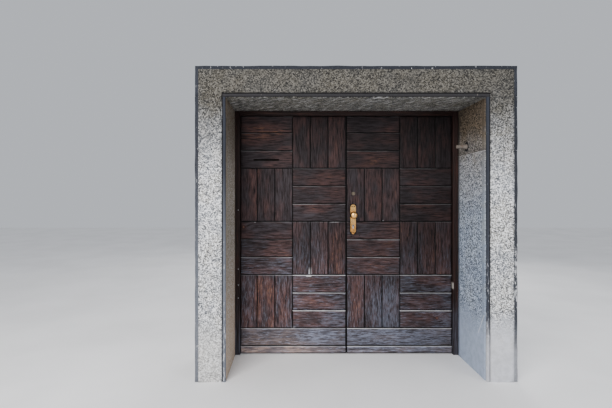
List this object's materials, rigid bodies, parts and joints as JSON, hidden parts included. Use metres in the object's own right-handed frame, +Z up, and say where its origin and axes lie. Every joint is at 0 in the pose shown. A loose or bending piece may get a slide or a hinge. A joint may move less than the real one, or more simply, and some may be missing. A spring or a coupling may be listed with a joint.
{
  "type": "double-leaf wooden door in a stone surround",
  "caption": "Rectangular double-leaf wooden door with boards laid in a basket-weave pattern, wooden frame, brass knob and lock plate, letter slot and moulded stone surround",
  "frame": {"origin": "on the ground, under the middle of the outer box, midway between the leaves", "axes": "+X to the right seen from outside, +Y into the building, +Z up"},
  "size_m": [2.33, 0.663, 2.283],
  "materials": {
    "stone": "matt, bush-hammered",
    "frame_wood": "dark stained, worn",
    "weathered_boards": "dark stained, weathered",
    "inner_wood": "matt stained",
    "brass": "worn polish",
    "steel": "satin",
    "rusty_iron": "dull, rusted",
    "dark_iron": "blackened"
  },
  "bodies": {
    "surround": {"frame_head": "frame_wood", "frame_post_left": "frame_wood", "frame_post_right": "frame_wood", "stone_jamb_left": "stone", "stone_jamb_right_lower": "stone", "stone_jamb_right_upper": "stone", "stone_lintel": "stone", "wall_pin": "rusty_iron", "hinge_frame_halves": "dark_iron", "bolt_keeper": "dark_iron"},
    "leaf_left": {"back_panels_left": "inner_wood", "base_board_left": "weathered_boards", "bottom_rail_left": "inner_wood", "bottom_strip_left": "weathered_boards", "hinge_leaf_halves_left": "dark_iron", "hinge_stile_left": "inner_wood", "meeting_stile_left": "inner_wood", "middle_rail_left": "inner_wood", "top_rail_left": "inner_wood", "boards_left_row1_inner": "weathered_boards", "boards_left_row1_outer": "weathered_boards", "boards_left_row2_inner": "weathered_boards", "boards_left_row2_outer": "weathered_boards", "boards_left_row3_inner": "weathered_boards", "boards_left_row3_outer": "weathered_boards", "boards_left_row4_inner": "weathered_boards", "boards_left_row4_outer": "weathered_boards", "strike_plate": "steel", "bolt_staples": "dark_iron", "letter_flap_brackets": "brass"},
    "leaf_right": {"back_panels_right": "inner_wood", "base_board_right": "weathered_boards", "bottom_rail_right": "inner_wood", "bottom_strip_right": "weathered_boards", "hinge_leaf_halves_right": "dark_iron", "hinge_stile_right": "inner_wood", "meeting_stile_right": "inner_wood", "middle_rail_right": "inner_wood", "top_rail_right": "inner_wood", "boards_right_row1_inner": "weathered_boards", "boards_right_row1_outer": "weathered_boards", "boards_right_row2_inner": "weathered_boards", "boards_right_row2_outer": "weathered_boards", "boards_right_row3_inner": "weathered_boards", "boards_right_row3_outer": "weathered_boards", "boards_right_row4_inner": "weathered_boards", "boards_right_row4_outer": "weathered_boards", "lock_case": "steel", "cylinder_body": "steel", "back_plates": "brass", "round_cover": "brass"},
    "knobs": {"knob_outer_with_spindle": "brass", "knob_inner": "brass", "lock_follower": "steel"},
    "latch": {"latch_bolt": "steel"},
    "plug": {"cylinder_plug": "steel"},
    "dead": {"dead_bolt": "steel"},
    "top_bolt": {"bolt_top": "dark_iron"},
    "bottom_bolt": {"bolt_bottom": "dark_iron"},
    "flap": {"letter_flap": "brass"}
  },
  "joints": [
    {"name": "left_leaf_swing", "type": "hinge", "parent": "surround", "child": "leaf_left", "pos_m": [-0.9105, 0.271, 1], "axis": [0, 0, 1], "range_deg": [0, 95]},
    {"name": "right_leaf_swing", "type": "hinge", "parent": "surround", "child": "leaf_right", "pos_m": [0.9105, 0.271, 1], "axis": [0, 0, -1], "range_deg": [0, 95]},
    {"name": "knob_turn", "type": "hinge", "parent": "leaf_right", "child": "knobs", "pos_m": [0.0585, 0.2425, 1.18125], "axis": [0, -1, 0], "range_deg": [0, 50]},
    {"name": "latch_slide", "type": "slide", "parent": "leaf_right", "child": "latch", "axis": [-1, 0, 0], "range_m": [0, 0.01183]},
    {"name": "key_turn", "type": "hinge", "parent": "leaf_right", "child": "plug", "pos_m": [0.0585, 0.2425, 1.08925], "axis": [0, -1, 0], "range_deg": [0, 80]},
    {"name": "dead_bolt_slide", "type": "slide", "parent": "leaf_right", "child": "dead", "axis": [-1, 0, 0], "range_m": [0, 0.01799]},
    {"name": "top_bolt_slide", "type": "slide", "parent": "leaf_left", "child": "top_bolt", "axis": [0, 0, 1], "range_m": [0, 0.022]},
    {"name": "bottom_bolt_slide", "type": "slide", "parent": "leaf_left", "child": "bottom_bolt", "axis": [0, 0, -1], "range_m": [0, 0.022]},
    {"name": "letter_flap_swing", "type": "hinge", "parent": "leaf_left", "child": "flap", "pos_m": [-0.679, 0.2445, 1.67062], "axis": [1, 0, 0], "range_deg": [0, 80]}
  ],
  "couplings": [
    {"joint": "knob_turn", "follows": "latch_slide", "rad_per_m": 73.746},
    {"joint": "key_turn", "follows": "dead_bolt_slide", "rad_per_m": 77.579}
  ]
}
